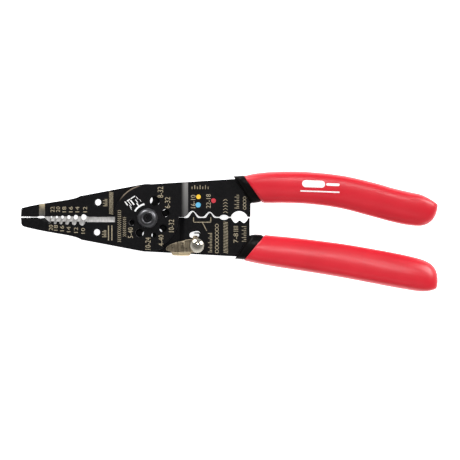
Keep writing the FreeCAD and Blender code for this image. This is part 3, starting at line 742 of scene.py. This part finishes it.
def lever_height(x, y):
    """Top surface of the pressed lever, above its flat level."""
    step = -TONGUE_DROP / (1 + math.exp((x - TONGUE_X) * 7))
    ridge = RIDGE_RISE * bell_curve(x, RIDGE_X, 0.35)
    curl = -CURL_DROP * max(0.0, (CURL_Y - y) / 0.8) ** 2 if x > TAB_X else 0.0
    lift = LIFT_RISE * bell_curve(y, LIFT_Y, 0.55) * (1 if x > LIFT_X else bell_curve(x, LIFT_X, 1.0))
    body = LOCK_BODY_RISE * (plateau(x, LOCK_BODY[0], LOCK_BODY_HALF[0])
                             * plateau(y, LOCK_BODY[1], LOCK_BODY_HALF[1]))
    bow = math.hypot((x - LOCK_BOW[0]) / LOCK_BOW_RADII[0], (y - LOCK_BOW[1]) / LOCK_BOW_RADII[1])
    shackle = LOCK_BOW_RISE * bell_curve(bow, 1.0, 0.28) if y > LOCK_BOW_FROM_Y else 0.0
    return step + ridge + curl + lift + body + shackle


def make_lever():
    """The lever as two layers of a grid, stitched along their rim."""
    columns, rows = LEVER_CELLS
    left, right = LEVER_UPPER[0][0], LEVER_UPPER[-1][0]
    upper_layer, lower_layer = [], []
    for i in range(columns + 1):
        x = left + (right - left) * i / columns
        upper, lower = spread(LEVER_UPPER, x), spread(LEVER_LOWER, x)
        for j in range(rows + 1):
            y = lower + (upper - lower) * j / rows
            edge = min(y - lower, upper - y, x - left)
            round_off = -LEVER_ROUND * max(0.0, 1 - edge / LEVER_ROUND) ** 2
            height = lever_height(x, y)
            upper_layer.append((x, y, LEVER_FLAT + height + round_off))
            lower_layer.append((x, y, max(LEVER_UNDER, LEVER_FLAT - LEVER_SHEET + height)))
    faces = []
    stride = rows + 1
    layer = (columns + 1) * stride
    for i in range(columns):
        for j in range(rows):
            a = i * stride + j
            faces.append((a, a + stride, a + stride + 1, a + 1))
            faces.append((layer + a, layer + a + 1, layer + a + stride + 1, layer + a + stride))
    rim = [i * stride for i in range(columns + 1)]
    rim += [columns * stride + j for j in range(1, rows + 1)]
    rim += [i * stride + rows for i in range(columns - 1, -1, -1)]
    rim += [j for j in range(rows - 1, 0, -1)]
    for a, b in zip(rim, rim[1:] + rim[:1]):
        faces.append((a, layer + a, layer + b, b))
    piece("latch_plate", upper_layer + lower_layer, faces, NICKEL, "latch", replaced=("latch_lever",))


make_lever()

STRIP_STEPS = 40


def strip(name, points, width, base, thick, material, body):
    """A flat ribbon of metal along a curve in the plane.

    width and base are (share of the way, value) pairs, for its width and its underside.
    """
    path = catmull([(*p, 0) for p in points], STRIP_STEPS)
    vertices = []
    for n, p in enumerate(path):
        ahead = path[min(n + 1, len(path) - 1)] - path[max(n - 1, 0)]
        across = Vector((-ahead.y, ahead.x, 0)).normalized()
        t = n / (len(path) - 1)
        half = spread(width, t) / 2
        rise = spread(base, t)
        for side, level in ((-1, 0), (1, 0), (1, thick), (-1, thick)):
            vertices.append((p.x + across.x * half * side, p.y + across.y * half * side, rise + level))
    faces = []
    for n in range(len(path) - 1):
        for k in range(4):
            a = n * 4 + k
            b = n * 4 + (k + 1) % 4
            faces.append((a, b, b + 4, a + 4))
    faces.append((3, 2, 1, 0))
    last = (len(path) - 1) * 4
    faces.append((last, last + 1, last + 2, last + 3))
    made = piece(name, vertices, faces, material, body, smooth=False)
    rounding = made.modifiers.new("edge", "BEVEL")
    rounding.width = 0.12 * MM
    rounding.segments = 2


# the neck reaches out over the slot in the handle, and the hook lies in the slot, painted near black as the
# shade it lies in
NECK_THICK = 0.5
HOOK_UNDER, HOOK_THICK = 5.2, 2.0
strip("latch_neck", [(24.3, -12.2), (24.1, -10.8), (24.0, -9.6), (24.0, -8.75)],
      [(0, 3.4), (0.55, 3.0), (0.85, 2.5), (1, 1.5)],
      [(0, LEVER_TOP - 0.2), (0.6, LEVER_TOP - 0.35), (1, LEVER_TOP - 1.1)], NECK_THICK, NICKEL, "latch")
strip("latch_hook", [(26.1, -9.3), (26.2, -8.3), (25.7, -7.55), (24.6, -7.5), (23.3, -7.5)],
      [(0, 0.75), (0.5, 0.75), (1, 0.6)], [(0, HOOK_UNDER), (1, HOOK_UNDER)], HOOK_THICK, HOOK_PAINTED_SHADE, "latch")

DOME_RADIUS, DOME_RIM = 3.5, 0.15
DOME_STEPS = 20
SHANK_RADIUS = 1.47
TAIL_RADIUS = 2.27                     # the tail is spread over the burr
AXIS = 0.001                           # radius that closes a profile at its axis


def make_rivet():
    """Rivet: tail under the burr, shank, and a domed head over a low rim."""
    dome_top = high("latch_rivet").z / MM - 0.1
    tail = low("latch_rivet").z / MM
    burr_under = low("latch_rivet_burr").z / MM
    profile = [
        (AXIS, tail), (TAIL_RADIUS - 0.3, tail + 0.2), (TAIL_RADIUS, burr_under),
        (SHANK_RADIUS, burr_under), (SHANK_RADIUS, LEVER_TOP), (DOME_RADIUS - 0.05, LEVER_TOP - 0.05),
        (DOME_RADIUS, LEVER_TOP + 0.02), (DOME_RADIUS, LEVER_TOP + DOME_RIM),
    ]
    rise = dome_top - LEVER_TOP - DOME_RIM
    ball = (DOME_RADIUS ** 2 + rise ** 2) / (2 * rise)
    steepest = math.asin(DOME_RADIUS / ball)
    for n in range(DOME_STEPS - 1, -1, -1):
        lean = steepest * n / DOME_STEPS
        profile.append((max(ball * math.sin(lean), AXIS), dome_top - ball * (1 - math.cos(lean))))
    turned("rivet_dome", RIVET, profile, DOME_NICKEL, "rear_half", ("latch_rivet",))


make_rivet()


# ---------------------------------------------------------------- printed marks
INK_LIFT = 0.03                        # height of flat print above its face


class Print:
    """Flat printed shapes gathered into one mesh that lies just above a face."""

    def __init__(self, name, face, ink, body):
        self.name, self.ink, self.body = name, ink, body
        self.height = face / MM + INK_LIFT
        self.vertices, self.faces = [], []

    def polygon(self, points):
        start = len(self.vertices)
        self.vertices += [(x, y, self.height) for x, y in points]
        self.faces.append(tuple(range(start, start + len(points))))

    def line(self, a, b, width):
        ax, ay = a
        bx, by = b
        length = math.hypot(bx - ax, by - ay)
        nx, ny = (ay - by) / length * width / 2, (bx - ax) / length * width / 2
        self.polygon([(ax - nx, ay - ny), (bx - nx, by - ny), (bx + nx, by + ny), (ax + nx, ay + ny)])

    def arc(self, centre, radius, start, end, width, steps=20):
        """A curved band between two angles in degrees."""
        for n in range(steps):
            a = math.radians(start + (end - start) * n / steps)
            b = math.radians(start + (end - start) * (n + 1) / steps)
            inner, outer = radius - width / 2, radius + width / 2
            self.polygon([(centre[0] + r * math.cos(t), centre[1] + r * math.sin(t))
                          for r, t in ((inner, a), (outer, a), (outer, b), (inner, b))])

    def dot(self, centre, radius, corners=24):
        angles = [2 * math.pi * n / corners for n in range(corners)]
        x, y = centre
        self.polygon([(x + radius * math.cos(a), y + radius * math.sin(a)) for a in angles])

    def number(self, text, box):
        """A number filling box (x0, y0, x1, y1), read from the +X side with its top towards -X."""
        curve = bpy.data.curves.new("number", "FONT")
        curve.body = text
        curve.resolution_u = 3
        holder = bpy.data.objects.new("number", curve)
        bpy.context.scene.collection.objects.link(holder)
        bpy.context.view_layer.update()
        evaluated = holder.evaluated_get(bpy.context.evaluated_depsgraph_get())
        mesh = bpy.data.meshes.new_from_object(evaluated)
        xs = [v.co.x for v in mesh.vertices]
        ys = [v.co.y for v in mesh.vertices]
        x0, y0, x1, y1 = box
        start = len(self.vertices)
        for v in mesh.vertices:
            along = (v.co.x - min(xs)) / (max(xs) - min(xs))
            up = (v.co.y - min(ys)) / (max(ys) - min(ys))
            self.vertices.append((x1 + (x0 - x1) * up, y0 + (y1 - y0) * along, self.height))
        self.faces += [tuple(start + i for i in p.vertices) for p in mesh.polygons]
        bpy.data.objects.remove(holder)
        bpy.data.meshes.remove(mesh)
        bpy.data.curves.remove(curve)

    def ticks(self, box, count, lean, width, pattern=(1.0,)):
        """A row of short bars along Y; pattern gives their lengths in turn."""
        x0, y0, x1, y1 = box
        pitch = (y1 - y0) / count
        for n in range(count):
            y = y0 + pitch * (n + 0.5)
            reach = (x1 - x0) * pattern[n % len(pattern)]
            self.line((x1 - reach, y + lean), (x1, y - lean), width)

    def rings(self, box, count, width=0.26):
        """A row of small circles along Y."""
        x0, y0, x1, y1 = box
        pitch = (y1 - y0) / count
        radius = min(pitch, x1 - x0) / 2 - width * 0.4
        for n in range(count):
            self.arc(((x0 + x1) / 2, y0 + pitch * (n + 0.5)), radius, 0, 360, width, 16)

    def arrows(self, box, count, width=0.26):
        """A row of small chevrons pointing along +Y."""
        x0, y0, x1, y1 = box
        pitch = (y1 - y0) / count
        for n in range(count):
            y = y0 + pitch * (n + 0.25)
            middle = (x0 + x1) / 2
            self.line((x0, y), (middle, y + pitch * 0.5), width)
            self.line((middle, y + pitch * 0.5), (x1, y), width)

    def bars(self, box, width):
        """Two long bars along Y."""
        x0, y0, x1, y1 = box
        self.line((x0 + width / 2, y0), (x0 + width / 2, y1), width)
        self.line((x1 - width / 2, y0), (x1 - width / 2, y1), width)

    def build(self):
        return piece(self.name, self.vertices, self.faces, self.ink, self.body, smooth=False)


front_marks = Print("front_blade_print", FRONT_FACE, TAN_INK, "front_half")
rear_marks = Print("rear_blade_print", REAR_FACE, TAN_INK, "rear_half")
front_handle = Print("front_handle_print", HANDLE_FACE, TAN_INK, "front_half")
rear_handle = Print("rear_handle_print", HANDLE_FACE, TAN_INK, "rear_half")

# wire sizes beside the strip holes: stranded above, solid below
DIGIT_HALF = 0.98                      # half the height of a digit, along X
STRANDED = (("22", -48.15), ("20", -45.3), ("18", -42.2), ("16", -38.9), ("14", -35.6), ("12", -31.7))
SOLID = (("20", -48.6, -3.4), ("18", -46.1, -3.5), ("16", -43.0, -3.8),
         ("14", -39.7, -4.3), ("12", -36.0, -4.6), ("10", -32.4, -5.0))
for text, x in STRANDED:
    rear_marks.number(text, (x - DIGIT_HALF, 3.0, x + DIGIT_HALF, 5.85))
for text, x, y in SOLID:
    front_marks.number(text, (x - DIGIT_HALF, y - 2.75, x + DIGIT_HALF, y))

# screw sizes round the pivot
SCREW_SIZES = {
    "5-40": (-9.85, -10.05, -7.35, -4.7), "10-24": (-1.2, -15.8, 1.55, -9.7),
    "4-40": (5.5, -14.05, 8.0, -8.4), "10-32": (10.6, -7.0, 13.3, -0.75),
    "8-32": (5.0, 10.25, 7.85, 15.8), "6-32": (8.65, 5.0, 11.35, 10.55),
}
for text, box in SCREW_SIZES.items():
    front_marks.number(text, box)

# wire kind: hatched bar for stranded, plain bar for solid
rear_marks.ticks((-22.7, 5.9, -20.4, 9.8), 6, 0.0, 0.3, (1.0, 0.6))
rear_marks.ticks((-19.6, 1.9, -17.5, 13.3), 19, 0.28, 0.28)
front_marks.ticks((-22.9, -9.7, -20.7, -5.9), 6, 0.0, 0.3, (1.0, 0.6))
front_marks.bars((-19.9, -11.2, -17.7, -3.7), 0.5)

# insertion side of the screw holes
front_marks.arrows((-15.1, -12.2, -13.3, 4.2), 17)
front_marks.arrows((-12.4, -9.4, -10.8, 0.7), 11)

# crimp dies
for n in range(7):
    x = 22.3 + n * 1.35
    front_handle.line((x, 14.6), (x, 16.6 if n % 2 else 15.9), 0.34)
front_handle.number("16-10", (21.65, 5.05, 24.05, 11.7))
front_handle.number("22-18", (29.4, 5.05, 31.7, 12.1))
front_handle.arrows((38.0, 2.3, 40.2, 9.9), 5)
front_handle.ticks((43.7, 4.6, 46.0, 12.0), 8, 0.0, 0.3, (1.0, 0.55))
front_handle.rings((47.6, 4.3, 49.9, 10.9), 4)
rear_handle.ticks((30.4, -17.4, 32.4, -7.3), 13, 0.0, 0.28, (1.0, 0.6, 0.6))
rear_handle.rings((33.7, -17.6, 35.9, -2.9), 8)
rear_handle.ticks((38.1, -17.7, 40.4, -1.7), 21, 0.24, 0.28)
rear_handle.number("7-8", (43.2, -12.4, 45.5, -7.6))
rear_handle.ticks((43.2, -7.0, 45.5, -3.7), 4, 0.0, 0.3)
rear_handle.ticks((47.3, -12.1, 49.6, -3.8), 9, 0.0, 0.3, (1.0, 0.55))

# bracket under the two terminal dies, with its leader
BRACKET_X, BRACKET_Y, BRACKET_WIDTH = (23.1, 31.75), (0.4, -2.2), 0.36
for x in BRACKET_X:
    rear_handle.line((x, BRACKET_Y[0]), (x, BRACKET_Y[1]), BRACKET_WIDTH)
rear_handle.line((BRACKET_X[0] - BRACKET_WIDTH / 2, -2.05),
                 (BRACKET_X[1] + BRACKET_WIDTH / 2, -2.05), BRACKET_WIDTH)
rear_handle.line((27.5, BRACKET_Y[1]), (29.7, -6.4), 0.34)

for marks in (front_marks, rear_marks, front_handle, rear_handle):
    marks.build()

# one dot for each size of terminal
DOTS = (("yellow", (25.55, 10.75), 1.15), ("blue", (25.4, 6.65), 1.3), ("red", (33.1, 8.8), 1.2))
for name, centre, radius in DOTS:
    terminal = Print(name + "_terminal_dot", HANDLE_FACE, DOT_INKS[name], "front_half")
    terminal.dot(centre, radius)
    terminal.build()

# screw standing in its hole, drawn in white beside the pivot
screw = Print("screw_sign", FRONT_FACE, WHITE_INK, "front_half")
screw.arc((0, 0), 7.2, 103, 152, 0.85)
SCREW_BEARING = math.radians(128)
outward = Vector((math.cos(SCREW_BEARING), math.sin(SCREW_BEARING)))
sideways = Vector((-outward.y, outward.x))
# Strokes of the screw: (along, across, half length, width)
SCREW_STROKES = (
    (9.9, 3.2, 0.9, 0.25), (10.9, 1.2, 1.5, 0.62), (11.3, 2.5, 1.3, 0.3), (12.4, 3.9, 1.2, 0.5),
    (10.2, -0.9, 1.0, 0.4), (11.2, -2.1, 0.8, 0.25), (8.9, 3.6, 0.7, 0.2), (9.3, -2.6, 0.7, 0.2),
)


def screw_line(a, b, width):
    """A stroke between two (along, across) places, measured outward from the pivot."""
    points = [outward * along + sideways * across for along, across in (a, b)]
    screw.line(tuple(points[0]), tuple(points[1]), width)


screw_line((7.3, -0.3), (9.3, -0.3), 0.5)
for along, across, reach, width in SCREW_STROKES:
    screw_line((along - reach, across), (along + reach, across), width)
screw_line((12.6, -1.9), (12.9, 0.7), 0.5)
screw_line((12.9, 1.1), (13.1, 2.9), 0.5)
screw.build()


# ---------------------------------------------------------------- sign on the upper grip
SIGN_CELL = 0.5
SIGN_LIFT = 0.035
ABOVE_TOOL = 0.05


def wrapped(name, strokes, grip, ink, body):
    """Strokes laid on the curved top of a grip.

    Each stroke is a polygon of four corners; it is cut into small cells first.
    """
    skin = grip.data
    tree = BVHTree.FromPolygons([v.co.copy() for v in skin.vertices],
                                [tuple(p.vertices) for p in skin.polygons])
    vertices, faces = [], []
    for a, b, c, d in strokes:
        columns = max(1, round(math.hypot(b[0] - a[0], b[1] - a[1]) / SIGN_CELL))
        rows = max(1, round(math.hypot(d[0] - a[0], d[1] - a[1]) / SIGN_CELL))
        start = len(vertices)
        for i in range(columns + 1):
            for j in range(rows + 1):
                s, t = i / columns, j / rows
                x = (a[0] * (1 - s) + b[0] * s) * (1 - t) + (d[0] * (1 - s) + c[0] * s) * t
                y = (a[1] * (1 - s) + b[1] * s) * (1 - t) + (d[1] * (1 - s) + c[1] * s) * t
                hit = tree.ray_cast(Vector((x * MM, y * MM, ABOVE_TOOL)), Vector((0, 0, -1)))[0]
                vertices.append((x, y, hit.z / MM + SIGN_LIFT))
        for i in range(columns):
            for j in range(rows):
                k = start + i * (rows + 1) + j
                faces.append((k, k + rows + 1, k + rows + 2, k + 1))
    return piece(name, vertices, faces, ink, body)


SLICES = 36
END_HALF = 0.02                        # half width left at the very end of a bar
SIGN_X = 77.5                          # where the heights of the bars are given
SIGN_SLOPE = -0.035                    # the bars fall with the grip


def capsule(start, end, half, height):
    """A bar with rounded ends along X, as upright slices."""
    edges = []
    for n in range(SLICES + 1):
        x = start + (end - start) * (1 - math.cos(math.pi * n / SLICES)) / 2
        inset = max(0.0, half - min(x - start, end - x))
        edges.append((x, math.sqrt(max(half * half - inset * inset, 0.0)) + END_HALF))
    slices = []
    for (xa, ha), (xb, hb) in zip(edges, edges[1:]):
        ya, yb = (height + (x - SIGN_X) * SIGN_SLOPE for x in (xa, xb))
        slices.append(((xa, ya - ha), (xb, yb - hb), (xb, yb + hb), (xa, ya + ha)))
    return slices


# a stripped wire: covering, bare end, and a rule below it
sign = capsule(SIGN_X, 89.0, 1.75, 17.3)
sign += capsule(89.6, 96.3, 0.62, 17.3)
sign += capsule(76.6, 96.3, 0.32, 13.6)
wrapped("grip_sign", sign, upper_grip_skin, WHITE_INK, "front_half")
